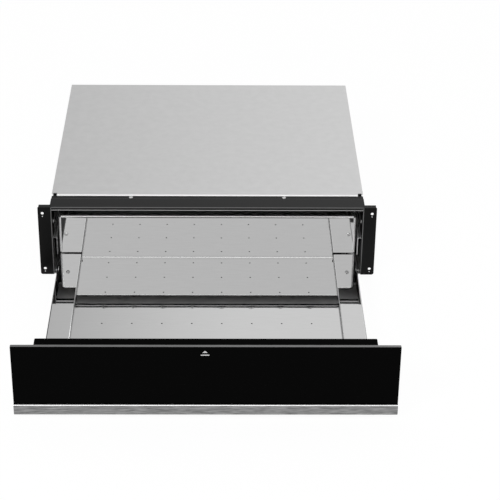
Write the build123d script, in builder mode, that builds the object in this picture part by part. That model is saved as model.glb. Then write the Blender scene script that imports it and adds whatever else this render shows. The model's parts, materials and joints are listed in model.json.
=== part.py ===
"""A built-in warming drawer, shown open: a sheet-metal housing with a black front frame, and a
polished tray on telescopic slides behind a glass front.

Millimetres. +X is right, +Y is back and +Z is up. The origin is the centre of the housing's base.
Depths called "rest" are those of the open drawer, as it is drawn here.
"""

import os
from math import cos, radians, sin

from build123d import *

# ---------------------------------------------------------------- driving dimensions
# Housing
housing_width = 550.0
housing_depth = 518.0
housing_sheet = 0.8
side_flange = 15.0
cover_flange = 20.0
cover_hem_bend = 3.2
cover_hem_lip = 1.2
cover_notch_width = 6.5
cover_notch_inset = 1.7
cover_notch_past_bend = 2.0
cover_screw_drop = 13.0
cover_screw_front_gap = 54.0
cover_screw_rear_gap = 48.0
cover_rear_screw_x = 190.0
member_sheet = 1.0
member_drop = 6.0
member_overlap = 8.0
bulkhead_foot = 12.0
bulkhead_foot_gap = 2.0

# Vent slots
vent_length = 34.0
vent_width = 4.0
vent_rows = 4
vent_row_spacing = 9.0
vent_drop = 39.0
base_vent_count = 9
base_vent_spacing = 46.0
rear_vent_count = 17
rear_vent_spacing = 22.0
bulkhead_vent_length = 120.0
bulkhead_vent_x = 150.0

# Front frame
ear_width = 23.8
frame_height = 135.0
frame_sheet = 1.2
ear_return_depth = 40.0
ear_top_return = 10.0
ear_bottom_corner = 4.0
ear_top_corner = 1.5
fixing_hole_radius = 2.6
fixing_hole_inset = 8.0
fixing_hole_end_inset = 12.0
pilot_hole_radius = 1.0
pilot_hole_drop = 6.0
rail_face_height = 6.5
rail_lip_depth = 8.0
rail_top_depth = 33.0
rail_joggle = 3.0
rail_joggle_length = 3.5
rail_depth = 56.0
rail_end_gap = 0.2
rail_screw_x = 135.0
rail_screw_depth = 43.0
hem_depth = 48.0

# Drawer tray
tray_side_gap = 9.2
tray_sheet = 0.8
floor_top = 26.0
floor_tuck = 2.5
floor_upturn = 5.0
floor_bend = 2.0
ledge_rise = 8.0
ledge_width = 39.5
ledge_skirt = 8.0
ledge_bend = 1.8
pan_bottom = 4.0
pan_rim = 9.0
rib_flange = 9.0
rib_end_gap = 12.0
rib_window_length = 30.0
rib_window_height = 12.0
rib_rows = (1.5, 3.5, 5.5)
back_wall_front = 16.0
back_wall_top = 109.0
back_wall_fold = 6.0
back_wall_bend = 1.5
back_wall_side_bend = 4.0
back_wall_relief = 2.5
back_wall_gap = 2.0
back_wall_side_gap = 1.0
inlet_side_margin = 7.0
inlet_margin = 0.5
hole_spacing = 50.0
hole_count = 8
hole_radius = 1.4
hole_edge_gap = 20.0
wall_screw_inset = 13.5
wall_screw_z = 73.0
wall_plate_width = 16.0
wall_plate_rise = 18.0
wall_tab_width = 8.0
wall_tab_rise = 10.0

# Front
panel_overhang = 1.5
panel_drop = 4.9
glass_bottom = 25.0
glass_thickness = 4.0
glass_chamfer = 0.4
carrier_thickness = 1.5
carrier_inset = 1.5
trim_thickness = 1.2
trim_corner = 1.0
strip_bottom = 6.5
strip_proud = 4.0
strip_sheet = 1.0
strip_corner = 2.5
inner_front_depth = 22.5
inner_front_sheet = 1.0
inner_front_corner = 2.0
inner_front_gap = 1.5
closed_gap = 4.0
push_in = 2.0
buffer_radius = 4.5
buffer_inset = 12.0
buffer_spread = 66.0

# Slides
slide_space = 16.0
slide_sheet = 1.2
slide_bend = 1.6
slide_height = 27.0
slide_bottom = 4.0
slide_ball_gap = 2.6
slide_web_gap = 2.4
slide_front = 22.0
slide_end_gap = 2.0
slide_stop = 1.5
outer_flange = 9.0
middle_flange = 6.0
inner_flange = 5.6
bracket_front = 12.0
bracket_top = 69.0
bracket_lip = 34.0
bracket_lip_width = 6.8
bracket_lip_bend = 3.2
bracket_skirt_gap = 1.0
bracket_screw_inset = 48.0
bracket_screw_z = 50.0
ball_clearance = 0.05
balls_per_row = 4
ball_spacing = 36.0
outer_ball_inset = 4.1
inner_ball_inset = 2.7
cage_sheet = 0.6
cage_bend = 0.8
cage_overhang = 6.0

# Fan, duct and heater behind the bulkhead
bay_depth = 68.0
fan_radius = 19.0
fan_end_gap = 4.0
fan_z = 38.0
fan_rear_gap = 2.0
fan_disc = 1.2
fan_blades = 24
blade_width = 6.4
blade_sheet = 0.8
blade_bend = 5.5
blade_lean = 32.0
fan_shaft_radius = 2.5
bearing_clearance = 0.05
bearing_radius = 6.0
bearing_length = 4.0
casing_half_length = 92.0
casing_top = 72.0
casing_sheet = 0.8
casing_fan_gap = 5.0
casing_rear_gap = 4.8
scroll_radius = 34.0
end_plate_sheet = 1.2
duct_low_z = 8.0
duct_height = 14.2
duct_overhang = 5.0
duct_window_margin = 2.0
duct_window_gap = 0.4
heater_radius = 3.0
heater_rod_depths = (4.5, 13.5)
heater_end_gap = 14.0
heater_terminal = 7.0
cutout_x = 62.0
cutout_rise = 12.0
cutout_radius = 8.0
cutout_thickness = 7.0
cutout_tab_length = 5.0
cutout_tab_width = 0.8
cutout_tab_height = 6.0

# Fan motor
motor_gap = 0.4
motor_rotor_radius = 12.6
motor_standoff = 9.0
motor_stack = 18.0
motor_half_width = 24.0
motor_half_height = 27.0
motor_pillar_radius = 2.0
motor_pillar_inset = 4.5
motor_shaft_end = 4.0
coil_overhang = 6.0
coil_half_width = 13.0
coil_height = 12.0
coil_corner = 3.0

# Push latch
latch_angle = 18.0
latch_bar_radius = 2.0
latch_thickness = 8.0
latch_reach = 22.0
latch_rise = 9.0
latch_bar_rest_depth = 35.5
latch_bar_z = 90.0
latch_pin_radius = 2.0
latch_mouth_x = 14.0
latch_cheek = 3.0
latch_wall = 2.0
latch_rear_gap = 9.0
latch_drop = 12.0
latch_height = 36.5
hook_boss = 3.0
hook_arm = 6.0
hook_nose_start = 24.5
hook_nose_end = 30.0
hook_nose_drop = 13.0
spring_wire = 1.0
spring_turns = 5
spring_end_gap = 1.0
striker_plate = 1.5
striker_wing = 6.0
striker_lug = 3.5
striker_leg = 2.0
striker_leg_inset = 4.0

# Electrics
gland_side_inset = 68.4
gland_z = 34.0
gland_hole_radius = 8.0
gland_bore_radius = 3.75
gland_flange = 3.0
gland_head = 5.0
gland_corner = 2.0
gland_tail = 9.0
terminal_half_width = 22.0
terminal_half_depth = 9.0
terminal_height = 16.0
terminal_rear_gap = 34.0
terminal_spacing = 12.0
terminal_hole_radius = 3.0
terminal_hole_depth = 6.0
board_box_wall = 2.0
board_box_width = 94.0
board_box_side_gap = 45.4
board_box_top = 44.0
board_box_front_gap = 12.0
board_box_rear_gap = 8.0
box_vent_count = 6
box_vent_spacing = 12.0
box_vent_length = 30.0
box_vent_width = 3.0
board_sheet = 1.6
board_gap = 1.0
board_rise = 6.0
board_post = 5.0
board_post_inset = 10.0
relay_length = 28.0
relay_width = 13.0
relay_height = 15.0
supply_length = 30.0
supply_width = 24.0
supply_height = 20.0
board_part_gap = 10.0

# Screws
screw_radius = 1.6
screw_length = 4.0
screw_head_radius = 3.5
screw_head_height = 2.0
screw_clearance = 0.1
ear_screw_depth = 26.0
ear_screw_drop = 41.0

clearance = 0.3

# ---------------------------------------------------------------- derived places
# Heights
base_top = housing_sheet
rail_bottom = frame_height - rail_face_height
strip_top_z = frame_height - rail_joggle
vent_z = frame_height - vent_drop
cover_screw_z = frame_height - cover_screw_drop
ear_screw_z = frame_height - ear_screw_drop
panel_top = frame_height - panel_drop
inner_front_top = rail_bottom - inner_front_gap
ledge_top = floor_top + ledge_rise
floor_under = floor_top - tray_sheet
slide_top = slide_bottom + slide_height
duct_middle_z = duct_low_z + casing_sheet + duct_height / 2
duct_roof = duct_low_z + 2 * casing_sheet + duct_height
latch_pivot_z = latch_bar_z + latch_rise
latch_low_z = latch_bar_z - latch_drop
latch_high_z = latch_low_z + latch_height

# Widths
wall_outer_x = housing_width / 2 - housing_sheet
wall_inner_x = wall_outer_x - housing_sheet
opening_half_width = wall_inner_x - frame_sheet
flange_width = 2 * (opening_half_width + ear_width)
panel_width = flange_width + 2 * panel_overhang
tray_half_width = opening_half_width - tray_side_gap
pan_half_width = tray_half_width - slide_space
ledge_inner_x = tray_half_width - ledge_width
wall_screw_x = tray_half_width - wall_screw_inset
bracket_web_x = wall_inner_x - slide_sheet / 2
bracket_lip_x = bracket_web_x - bracket_lip_width
bracket_leg_x = tray_half_width - tray_sheet - bracket_skirt_gap - slide_sheet / 2
outer_web_x = bracket_leg_x - slide_sheet
middle_web_x = outer_web_x - slide_sheet - slide_web_gap
inner_web_x = pan_half_width + clearance + slide_sheet / 2
inner_tip_x = inner_web_x + inner_flange
fan_half_length = casing_half_length - fan_end_gap
motor_start_x = casing_half_length + motor_standoff
gland_x = wall_inner_x - gland_side_inset
board_box_x = -wall_inner_x + board_box_side_gap

# Depths
front_y = -housing_depth / 2
rear_y = housing_depth / 2
bulkhead_depth = housing_depth - bay_depth
slide_rear = bulkhead_depth - slide_end_gap
slide_middle = (slide_front + slide_rear) / 2
travel = slide_rear - slide_front - slide_stop
side_front_y = front_y + 1.5 * frame_sheet
panel_back_y = front_y - closed_gap - travel
glass_back_y = panel_back_y - carrier_thickness
glass_front_y = glass_back_y - glass_thickness
inner_front_back_y = panel_back_y + inner_front_depth
wall_front_y = front_y + back_wall_front
wall_back_y = wall_front_y + tray_sheet
bulkhead_y = front_y + bulkhead_depth
bulkhead_back_y = bulkhead_y + housing_sheet
bay_middle_y = (bulkhead_back_y + rear_y) / 2
last_row_y = wall_front_y - hole_edge_gap
duct_mouth_y = bulkhead_y - duct_overhang
casing_rear_y = rear_y - 2 * housing_sheet - casing_rear_gap
fan_y = casing_rear_y - casing_sheet - fan_rear_gap - fan_radius
casing_front_y = fan_y - fan_radius - casing_fan_gap
heater_rod_places = [bulkhead_back_y + depth for depth in heater_rod_depths]
latch_bar_rest_y = front_y + latch_bar_rest_depth
latch_pivot_y = latch_bar_rest_y + travel + latch_reach
latch_rear_y = latch_pivot_y + latch_rear_gap

# Sizes and corners that follow from others
member_step = slide_sheet + slide_ball_gap
hole_field = hole_spacing * (hole_count - 1)
buffer_thickness = closed_gap - push_in - clearance
board_box_low = (board_box_x, bulkhead_back_y + board_box_front_gap, base_top)
board_box_high = (board_box_x + board_box_width, rear_y - board_box_rear_gap, board_box_top)
cover_side_screw_depths = (rail_depth + cover_screw_front_gap, housing_depth - cover_screw_rear_gap)
SIDES = (("left", -1), ("right", 1))


def ends_and_middle(first, last):
    """Three places in a row: the two ends, and the middle between them."""
    return first, (first + last) / 2, last


# The seats of the screws: where each head stands, and the way that it faces.
cover_front_screws = [
    ((x, front_y + rail_screw_depth, strip_top_z), (0, 0, 1)) for x in (-rail_screw_x, rail_screw_x)
]
cover_side_screws = [
    ((side * housing_width / 2, front_y + depth, cover_screw_z), (side, 0, 0))
    for _, side in SIDES
    for depth in ends_and_middle(*cover_side_screw_depths)
]
cover_rear_screws = [
    ((x, rear_y, cover_screw_z), (0, 1, 0))
    for x in ends_and_middle(-cover_rear_screw_x, cover_rear_screw_x)
]
ear_screws = [
    ((side * opening_half_width, front_y + ear_screw_depth, ear_screw_z), (-side, 0, 0))
    for _, side in SIDES
]
bracket_screws = [
    ((side * (bracket_web_x - slide_sheet / 2), front_y + depth, bracket_screw_z), (-side, 0, 0))
    for _, side in SIDES
    for depth in ends_and_middle(slide_front + bracket_screw_inset, slide_rear - bracket_screw_inset)
]
wall_screws = [((side * wall_screw_x, wall_front_y, wall_screw_z), (0, -1, 0)) for _, side in SIDES]

os.makedirs("parts", exist_ok=True)


def save(piece, name):
    """Labels a finished piece and writes it to its own file."""
    piece.part.label = name
    export_step(piece.part, f"parts/{name}.step")


def across(x):
    """A plane square to X at the given place: its local axes are Y and Z."""
    return Plane.YZ.offset(x)


def along(y):
    """A plane square to Y at the given place, seen from the front: its local axes are X and Z."""
    return Plane.XZ.offset(-y)


def block(low, high, mode=Mode.ADD):
    """A block between two corners, in the part that is being built."""
    size = [b - a for a, b in zip(low, high)]
    middle = [(a + b) / 2 for a, b in zip(low, high)]
    with Locations(tuple(middle)):
        Box(*size, mode=mode)


def seat_planes(seats):
    """A plane on each screw's seat, whose Z points along its head."""
    return [Plane(origin=place, z_dir=direction) for place, direction in seats]


def drill(seats):
    """Clearance holes for screws, in the part that is being built."""
    with Locations(*seat_planes(seats)):
        Cylinder(screw_radius + screw_clearance, 2 * screw_length, mode=Mode.SUBTRACT)


# ---------------------------------------------------------------- housing
def make_base():
    """The floor of the housing, with cooling slots under the rear compartment."""
    with BuildPart() as base:
        block(
            (-wall_outer_x, front_y + frame_sheet, 0),
            (wall_outer_x, rear_y - housing_sheet, base_top),
        )
        with BuildSketch(Plane.XY):
            with Locations((0, bay_middle_y)):
                with GridLocations(base_vent_spacing, 0, base_vent_count, 1):
                    SlotOverall(vent_length, vent_width, rotation=90)
        extrude(amount=base_top, mode=Mode.SUBTRACT)
    save(base, "base_plate")


def make_side_panels():
    """Side walls with a flange at the top and the bottom, lowered at the front under the rail."""
    middle_x = wall_outer_x - housing_sheet / 2
    top_z = frame_height - 1.5 * housing_sheet
    bottom_z = base_top + housing_sheet / 2
    notch_z = strip_top_z - frame_sheet - clearance
    for name, side in SIDES:
        with BuildPart() as panel:
            with BuildSketch(along(rear_y - 2 * housing_sheet)):
                with BuildLine():
                    FilletPolyline(
                        (side * (middle_x - side_flange), top_z),
                        (side * middle_x, top_z),
                        (side * middle_x, bottom_z),
                        (side * (middle_x - side_flange), bottom_z),
                        radius=housing_sheet,
                    )
                trace(line_width=housing_sheet)
            extrude(amount=rear_y - 2 * housing_sheet - side_front_y)
            notch_x = sorted((0, side * wall_outer_x))
            block(
                (notch_x[0], front_y, notch_z),
                (notch_x[1], front_y + rail_depth + cover_notch_past_bend, frame_height),
                mode=Mode.SUBTRACT,
            )
            with BuildSketch(across(side * wall_outer_x)):
                with Locations((bay_middle_y, vent_z)):
                    with GridLocations(0, vent_row_spacing, 1, vent_rows):
                        SlotOverall(vent_length, vent_width)
            extrude(amount=-side * 2 * housing_sheet, mode=Mode.SUBTRACT)
            drill(cover_side_screws + ear_screws + bracket_screws)
        save(panel, f"{name}_side_panel")


def make_rear_panel():
    """The back of the housing, with vent slots and a round hole for the mains cable gland."""
    back_y = rear_y - housing_sheet
    with BuildPart() as panel:
        block(
            (-wall_inner_x, back_y - housing_sheet, base_top),
            (wall_inner_x, back_y, frame_height - 2 * housing_sheet),
        )
        with BuildSketch(along(back_y)):
            with Locations((0, vent_z)):
                with GridLocations(rear_vent_spacing, 0, rear_vent_count, 1):
                    SlotOverall(vent_length, vent_width, rotation=90)
            with Locations((gland_x, gland_z)):
                Circle(gland_hole_radius)
        extrude(amount=housing_sheet, mode=Mode.SUBTRACT)
        drill(cover_rear_screws)
    save(panel, "rear_panel")


def make_top_cover():
    """The lid: a rolled front hem, a rear flange and two side flanges over the side panels."""
    notch_outer_x = wall_outer_x - cover_notch_inset
    notch_inner_x = notch_outer_x - cover_notch_width
    hem_middle = front_y + hem_depth + housing_sheet / 2
    top_z = frame_height - housing_sheet / 2
    flange_front = front_y + rail_depth + member_sheet
    with BuildPart() as cover:
        with BuildSketch(across(-housing_width / 2)):
            with BuildLine():
                FilletPolyline(
                    (hem_middle, strip_top_z - cover_hem_lip),
                    (hem_middle, top_z),
                    (rear_y - housing_sheet / 2, top_z),
                    (rear_y - housing_sheet / 2, frame_height - cover_flange),
                    radius=(cover_hem_bend, housing_sheet),
                )
            trace(line_width=housing_sheet)
        extrude(amount=housing_width)
        block(
            (-housing_width / 2, front_y, 0),
            (housing_width / 2, front_y + rail_depth, strip_top_z),
            mode=Mode.SUBTRACT,
        )
        for side in (-1, 1):
            edge_x = sorted((side * wall_outer_x, side * housing_width / 2))
            block(
                (edge_x[0], flange_front, frame_height - cover_flange),
                (edge_x[1], rear_y - housing_sheet, frame_height - housing_sheet),
            )
            notch_x = sorted((side * notch_inner_x, side * notch_outer_x))
            block(
                (notch_x[0], front_y, frame_height - cover_flange),
                (notch_x[1], hem_middle + cover_hem_bend + cover_notch_past_bend, frame_height),
                mode=Mode.SUBTRACT,
            )
        drill(cover_side_screws + cover_rear_screws)
    save(cover, "top_cover")


def make_cross_member():
    """A pale strip under the rail that ties the side panels together and carries the cover."""
    under_rail = frame_height - frame_sheet
    member_z = strip_top_z - frame_sheet - member_sheet / 2
    member_front = front_y + rail_lip_depth + 2 * member_sheet
    member_rear = front_y + rail_depth + member_overlap
    with BuildPart() as member:
        with BuildSketch(across(-opening_half_width)):
            with BuildLine():
                FilletPolyline(
                    (member_front, under_rail),
                    (member_front, member_z),
                    (member_rear, member_z),
                    (member_rear, member_z - member_drop),
                    radius=member_sheet,
                )
            trace(line_width=member_sheet)
        extrude(amount=2 * opening_half_width)
        drill(cover_front_screws)
    save(member, "front_cross_member")


def make_bulkhead():
    """The wall between the drawer's bay and the rear compartment."""
    bulkhead_half_width = wall_inner_x - housing_sheet / 2
    foot_half_width = wall_outer_x - side_flange - bulkhead_foot_gap
    with BuildPart() as bulkhead:
        block(
            (-bulkhead_half_width, bulkhead_y, base_top + housing_sheet),
            (bulkhead_half_width, bulkhead_back_y, frame_height - 2 * housing_sheet),
        )
        block(
            (-foot_half_width, bulkhead_y, base_top),
            (foot_half_width, bulkhead_y + bulkhead_foot, base_top + housing_sheet),
        )
        with BuildSketch(along(bulkhead_back_y)):
            with Locations((0, duct_middle_z)):
                Rectangle(
                    2 * (casing_half_length + duct_window_margin),
                    duct_height + 2 * (casing_sheet + duct_window_gap),
                )
            with Locations((0, (latch_low_z + latch_high_z) / 2)):
                Rectangle(2 * latch_mouth_x, latch_height - 2 * latch_wall)
            with Locations((-bulkhead_vent_x, vent_z), (bulkhead_vent_x, vent_z)):
                with GridLocations(0, vent_row_spacing, 1, vent_rows):
                    SlotOverall(bulkhead_vent_length, vent_width)
        extrude(amount=housing_sheet, mode=Mode.SUBTRACT)
    save(bulkhead, "bulkhead")


# ---------------------------------------------------------------- front frame
def make_front_rail():
    """The black top rail: lip, low face, top, and a joggled strip that the cover stands on."""
    half = frame_sheet / 2
    top_z = frame_height - half
    low_z = strip_top_z - half
    with BuildPart() as rail:
        with BuildSketch(across(-housing_width / 2)):
            with BuildLine():
                FilletPolyline(
                    (front_y + rail_lip_depth, rail_bottom + half),
                    (front_y + half, rail_bottom + half),
                    (front_y + half, top_z),
                    (front_y + rail_top_depth, top_z),
                    (front_y + rail_top_depth + rail_joggle_length, low_z),
                    (front_y + rail_depth, low_z),
                    radius=frame_sheet,
                )
            trace(line_width=frame_sheet)
        extrude(amount=housing_width)
        for side in (-1, 1):
            corner_x = sorted((side * (opening_half_width - rail_end_gap), side * housing_width / 2))
            block(
                (corner_x[0], front_y, rail_bottom),
                (corner_x[1], front_y + ear_top_return + clearance, frame_height),
                mode=Mode.SUBTRACT,
            )
        drill(cover_front_screws)
    save(rail, "front_rail")


def fixing_hole_places(side):
    """The centres of one ear's two cabinet screws, as X and Z."""
    x = side * (flange_width / 2 - fixing_hole_inset)
    return [(x, fixing_hole_end_inset), (x, frame_height - fixing_hole_end_inset)]


def make_ears():
    """The two flanges that the cabinet screws go through, each with a top and an inner return."""
    half = frame_sheet / 2
    return_bottom = base_top + 2 * housing_sheet
    for name, side in SIDES:
        outer_x = side * flange_width / 2
        inner_x = side * opening_half_width
        with BuildPart() as ear:
            with BuildSketch(Plane.XY):
                with BuildLine():
                    FilletPolyline(
                        (outer_x, front_y + half),
                        (inner_x + side * half, front_y + half),
                        (inner_x + side * half, front_y + ear_return_depth),
                        radius=frame_sheet,
                    )
                trace(line_width=frame_sheet)
            extrude(amount=frame_height)
            with BuildSketch(along(front_y + ear_return_depth)) as outline:
                with Locations(((outer_x + inner_x) / 2, frame_height / 2)):
                    Rectangle(ear_width, frame_height)
                outer_corners = outline.vertices().group_by(Axis.X)[-1 if side > 0 else 0]
                fillet(outer_corners.sort_by(Axis.Y)[0], ear_bottom_corner)
                outer_corners = outline.vertices().group_by(Axis.X)[-1 if side > 0 else 0]
                fillet(outer_corners.sort_by(Axis.Y)[-1], ear_top_corner)
                for x, z in fixing_hole_places(side):
                    with Locations((x, z)):
                        Circle(fixing_hole_radius, mode=Mode.SUBTRACT)
                    with Locations((x, z - pilot_hole_drop)):
                        Circle(pilot_hole_radius, mode=Mode.SUBTRACT)
            extrude(amount=ear_return_depth, mode=Mode.INTERSECT)
            behind_x = sorted((inner_x, outer_x))
            for low, high, depth in (
                (0, return_bottom, frame_sheet),
                (return_bottom, bracket_top + clearance, bracket_front - clearance),
                (rail_bottom, frame_height, frame_sheet),
            ):
                block(
                    (behind_x[0], front_y + depth, low),
                    (behind_x[1], front_y + ear_return_depth, high),
                    mode=Mode.SUBTRACT,
                )
            top_x = sorted((inner_x, outer_x - side * ear_top_corner))
            block(
                (top_x[0], front_y + half, frame_height - frame_sheet),
                (top_x[1], front_y + ear_top_return, frame_height),
            )
            drill(ear_screws)
        save(ear, f"{name}_ear")


# ---------------------------------------------------------------- slides
def channel(side, web_x, tip_x, drop):
    """The outline of a slide member: a channel whose flanges lie a drop inside the slide's height."""
    high_z = slide_top - slide_sheet / 2 - drop
    low_z = slide_bottom + slide_sheet / 2 + drop
    FilletPolyline(
        (side * tip_x, high_z),
        (side * web_x, high_z),
        (side * web_x, low_z),
        (side * tip_x, low_z),
        radius=slide_bend,
    )


def make_slide_brackets():
    """Zinc channels on the side panels; their inner leg carries the fixed slide member."""
    foot_z = base_top + housing_sheet + slide_sheet / 2
    for name, side in SIDES:
        with BuildPart() as bracket:
            with BuildSketch(along(front_y + slide_rear)):
                with BuildLine():
                    FilletPolyline(
                        (side * bracket_lip_x, bracket_lip),
                        (side * bracket_lip_x, bracket_top - slide_sheet / 2),
                        (side * bracket_web_x, bracket_top - slide_sheet / 2),
                        (side * bracket_web_x, foot_z),
                        (side * bracket_leg_x, foot_z),
                        (side * bracket_leg_x, slide_top),
                        radius=(bracket_lip_bend, bracket_lip_bend, slide_bend, slide_bend),
                    )
                trace(line_width=slide_sheet)
            extrude(amount=slide_rear - bracket_front)
            notch_x = sorted((0, side * (tray_half_width + inner_front_gap)))
            block(
                (notch_x[0], front_y, 0),
                (notch_x[1], front_y + slide_front, bracket_top),
                mode=Mode.SUBTRACT,
            )
            drill(bracket_screws)
        save(bracket, f"{name}_slide_bracket")


def make_slides():
    """Fixed, middle and drawer members of both slides, nested with room for their balls."""
    outer_tip_x = outer_web_x - outer_flange
    middle_tip_x = middle_web_x - middle_flange
    for name, side in SIDES:
        with BuildPart() as outer:
            with BuildSketch(along(front_y + slide_rear)):
                with BuildLine():
                    channel(side, outer_web_x, outer_tip_x, 0)
                trace(line_width=slide_sheet)
            extrude(amount=slide_rear - slide_front)
        save(outer, f"{name}_outer_slide")
        with BuildPart() as middle:
            with BuildSketch(along(front_y + slide_rear - slide_end_gap - travel / 2)):
                with BuildLine():
                    channel(side, middle_web_x, middle_tip_x, member_step)
                trace(line_width=slide_sheet)
            extrude(amount=slide_rear - slide_front - 2 * slide_end_gap)
        save(middle, f"{name}_middle_slide")
        with BuildPart() as inner:
            inner_rear = wall_back_y + slide_end_gap
            with BuildSketch(along(inner_rear)):
                with BuildLine():
                    channel(side, inner_web_x, inner_tip_x, 2 * member_step)
                trace(line_width=slide_sheet)
            extrude(amount=inner_rear - inner_front_back_y - clearance)
        save(inner, f"{name}_inner_slide")


def make_ball_cages():
    """Thin channels that hold the balls between two slide members, two rows of balls in each."""
    ball_radius = slide_ball_gap / 2 - ball_clearance
    outer_cage_x = (outer_web_x + middle_web_x) / 2
    inner_cage_x = (middle_web_x - slide_sheet / 2 + inner_tip_x) / 2
    stages = (
        ("outer", outer_cage_x, outer_cage_x - outer_ball_inset, slide_sheet, 1 / 4),
        ("inner", inner_cage_x, inner_cage_x - inner_ball_inset, slide_sheet + member_step, 3 / 4),
    )
    row_length = ball_spacing * (balls_per_row - 1)
    for name, side in SIDES:
        for stage, web_x, ball_x, depth, share in stages:
            high_z = slide_top - depth - slide_ball_gap / 2
            low_z = slide_bottom + depth + slide_ball_gap / 2
            tip_x = ball_x - ball_radius
            middle_y = front_y + slide_middle - share * travel
            with BuildPart() as cage:
                with BuildSketch(along(middle_y + row_length / 2 + cage_overhang)):
                    with BuildLine():
                        FilletPolyline(
                            (side * tip_x, high_z),
                            (side * web_x, high_z),
                            (side * web_x, low_z),
                            (side * tip_x, low_z),
                            radius=cage_bend,
                        )
                    trace(line_width=cage_sheet)
                extrude(amount=row_length + 2 * cage_overhang)
                with Locations((side * ball_x, middle_y, (high_z + low_z) / 2)):
                    with GridLocations(0, ball_spacing, 1, balls_per_row):
                        for rise in (-(high_z - low_z) / 2, (high_z - low_z) / 2):
                            with Locations((0, 0, rise)):
                                Sphere(ball_radius)
            save(cage, f"{name}_{stage}_ball_cage")


# ---------------------------------------------------------------- drawer tray
def make_pan():
    """The pan under the floor; the warm air spreads in it. Its sides carry slides and ledges."""
    half = tray_sheet / 2
    side_x = pan_half_width - half
    top_z = ledge_top - tray_sheet - half
    with BuildPart() as pan:
        with BuildSketch(along(wall_back_y)):
            with BuildLine():
                FilletPolyline(
                    (-side_x + pan_rim, top_z),
                    (-side_x, top_z),
                    (-side_x, pan_bottom + half),
                    (side_x, pan_bottom + half),
                    (side_x, top_z),
                    (side_x - pan_rim, top_z),
                    radius=tray_sheet,
                )
            trace(line_width=tray_sheet)
        extrude(amount=wall_back_y - inner_front_back_y)
    save(pan, "drawer_pan")


def make_floor():
    """The polished floor with its square field of small air holes, turned up against the wall."""
    half = tray_sheet / 2
    with BuildPart() as floor:
        with BuildSketch(across(-ledge_inner_x + clearance)):
            with BuildLine():
                FilletPolyline(
                    (inner_front_back_y, floor_top - half),
                    (wall_front_y - half, floor_top - half),
                    (wall_front_y - half, floor_top + floor_upturn),
                    radius=floor_bend,
                )
            trace(line_width=tray_sheet)
        extrude(amount=2 * (ledge_inner_x - clearance))
        for side in (-1, 1):
            tuck_x = sorted((side * (ledge_inner_x - clearance), side * (ledge_inner_x + floor_tuck)))
            block(
                (tuck_x[0], inner_front_back_y, floor_under),
                (tuck_x[1], wall_front_y - floor_bend - tray_sheet, floor_top),
            )
        with Locations((0, last_row_y - hole_field / 2, floor_top)):
            with GridLocations(hole_spacing, hole_spacing, hole_count, hole_count):
                Hole(hole_radius, depth=2 * tray_sheet)
    save(floor, "perforated_floor")


def make_floor_ribs():
    """Folded ribs between the rows of holes, with gaps for the air, that hold up the floor."""
    pan_top = pan_bottom + tray_sheet
    rib_half_length = ledge_inner_x - rib_end_gap
    half = tray_sheet / 2
    with BuildPart() as ribs:
        for row in rib_rows:
            rib_y = last_row_y - row * hole_spacing
            with BuildSketch(across(-rib_half_length)):
                with BuildLine():
                    FilletPolyline(
                        (rib_y - rib_flange, pan_top + half),
                        (rib_y, pan_top + half),
                        (rib_y, floor_under - half),
                        (rib_y + rib_flange, floor_under - half),
                        radius=tray_sheet,
                    )
                trace(line_width=tray_sheet)
            extrude(amount=2 * rib_half_length)
            with Locations((0, rib_y, (pan_top + floor_under) / 2)):
                with GridLocations(hole_spacing, 0, hole_count, 1):
                    Box(rib_window_length, 4 * tray_sheet, rib_window_height, mode=Mode.SUBTRACT)
    save(ribs, "floor_ribs")


def make_ledges():
    """The raised polished ledges over the slides, from the outer skirt to the step at the floor."""
    half = tray_sheet / 2
    for name, side in SIDES:
        with BuildPart() as ledge:
            with BuildSketch(along(wall_front_y - back_wall_gap)):
                with BuildLine():
                    FilletPolyline(
                        (side * (tray_half_width - half), ledge_top - ledge_skirt),
                        (side * (tray_half_width - half), ledge_top - half),
                        (side * (ledge_inner_x + half), ledge_top - half),
                        (side * (ledge_inner_x + half), floor_top + clearance),
                        radius=ledge_bend,
                    )
                trace(line_width=tray_sheet)
            extrude(amount=wall_front_y - back_wall_gap - inner_front_back_y)
        save(ledge, f"{name}_ledge")


def make_back_wall():
    """The polished back wall: folded back above the ledges, with an air inlet below the floor."""
    half = tray_sheet / 2
    half_width = tray_half_width - back_wall_side_gap
    straight_x = half_width - half - back_wall_side_bend
    wall_low = ledge_top + back_wall_gap
    foot_low = pan_bottom + tray_sheet
    foot_half_width = ledge_inner_x - tray_sheet
    fold_y = wall_front_y + back_wall_fold
    with BuildPart() as wall:
        with BuildSketch(across(-straight_x)):
            with BuildLine():
                FilletPolyline(
                    (fold_y, back_wall_top - half),
                    (wall_front_y + half, back_wall_top - half),
                    (wall_front_y + half, wall_low),
                    radius=back_wall_bend,
                )
            trace(line_width=tray_sheet)
        extrude(amount=2 * straight_x)
        with BuildSketch(Plane.XY.offset(wall_low)):
            for side in (-1, 1):
                with BuildLine():
                    FilletPolyline(
                        (side * (straight_x - back_wall_bend), wall_front_y + half),
                        (side * (half_width - half), wall_front_y + half),
                        (side * (half_width - half), fold_y),
                        radius=back_wall_side_bend,
                    )
            trace(line_width=tray_sheet)
        extrude(amount=back_wall_top - back_wall_relief - wall_low)
        with BuildSketch(along(wall_back_y)):
            with Locations((0, (foot_low + wall_low) / 2)):
                Rectangle(2 * foot_half_width, wall_low - foot_low)
            with Locations((0, duct_middle_z)):
                Rectangle(
                    2 * (casing_half_length + inlet_side_margin),
                    duct_height + 2 * inlet_margin,
                    mode=Mode.SUBTRACT,
                )
        extrude(amount=tray_sheet)
        drill(wall_screws)
    save(wall, "back_wall")


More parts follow.
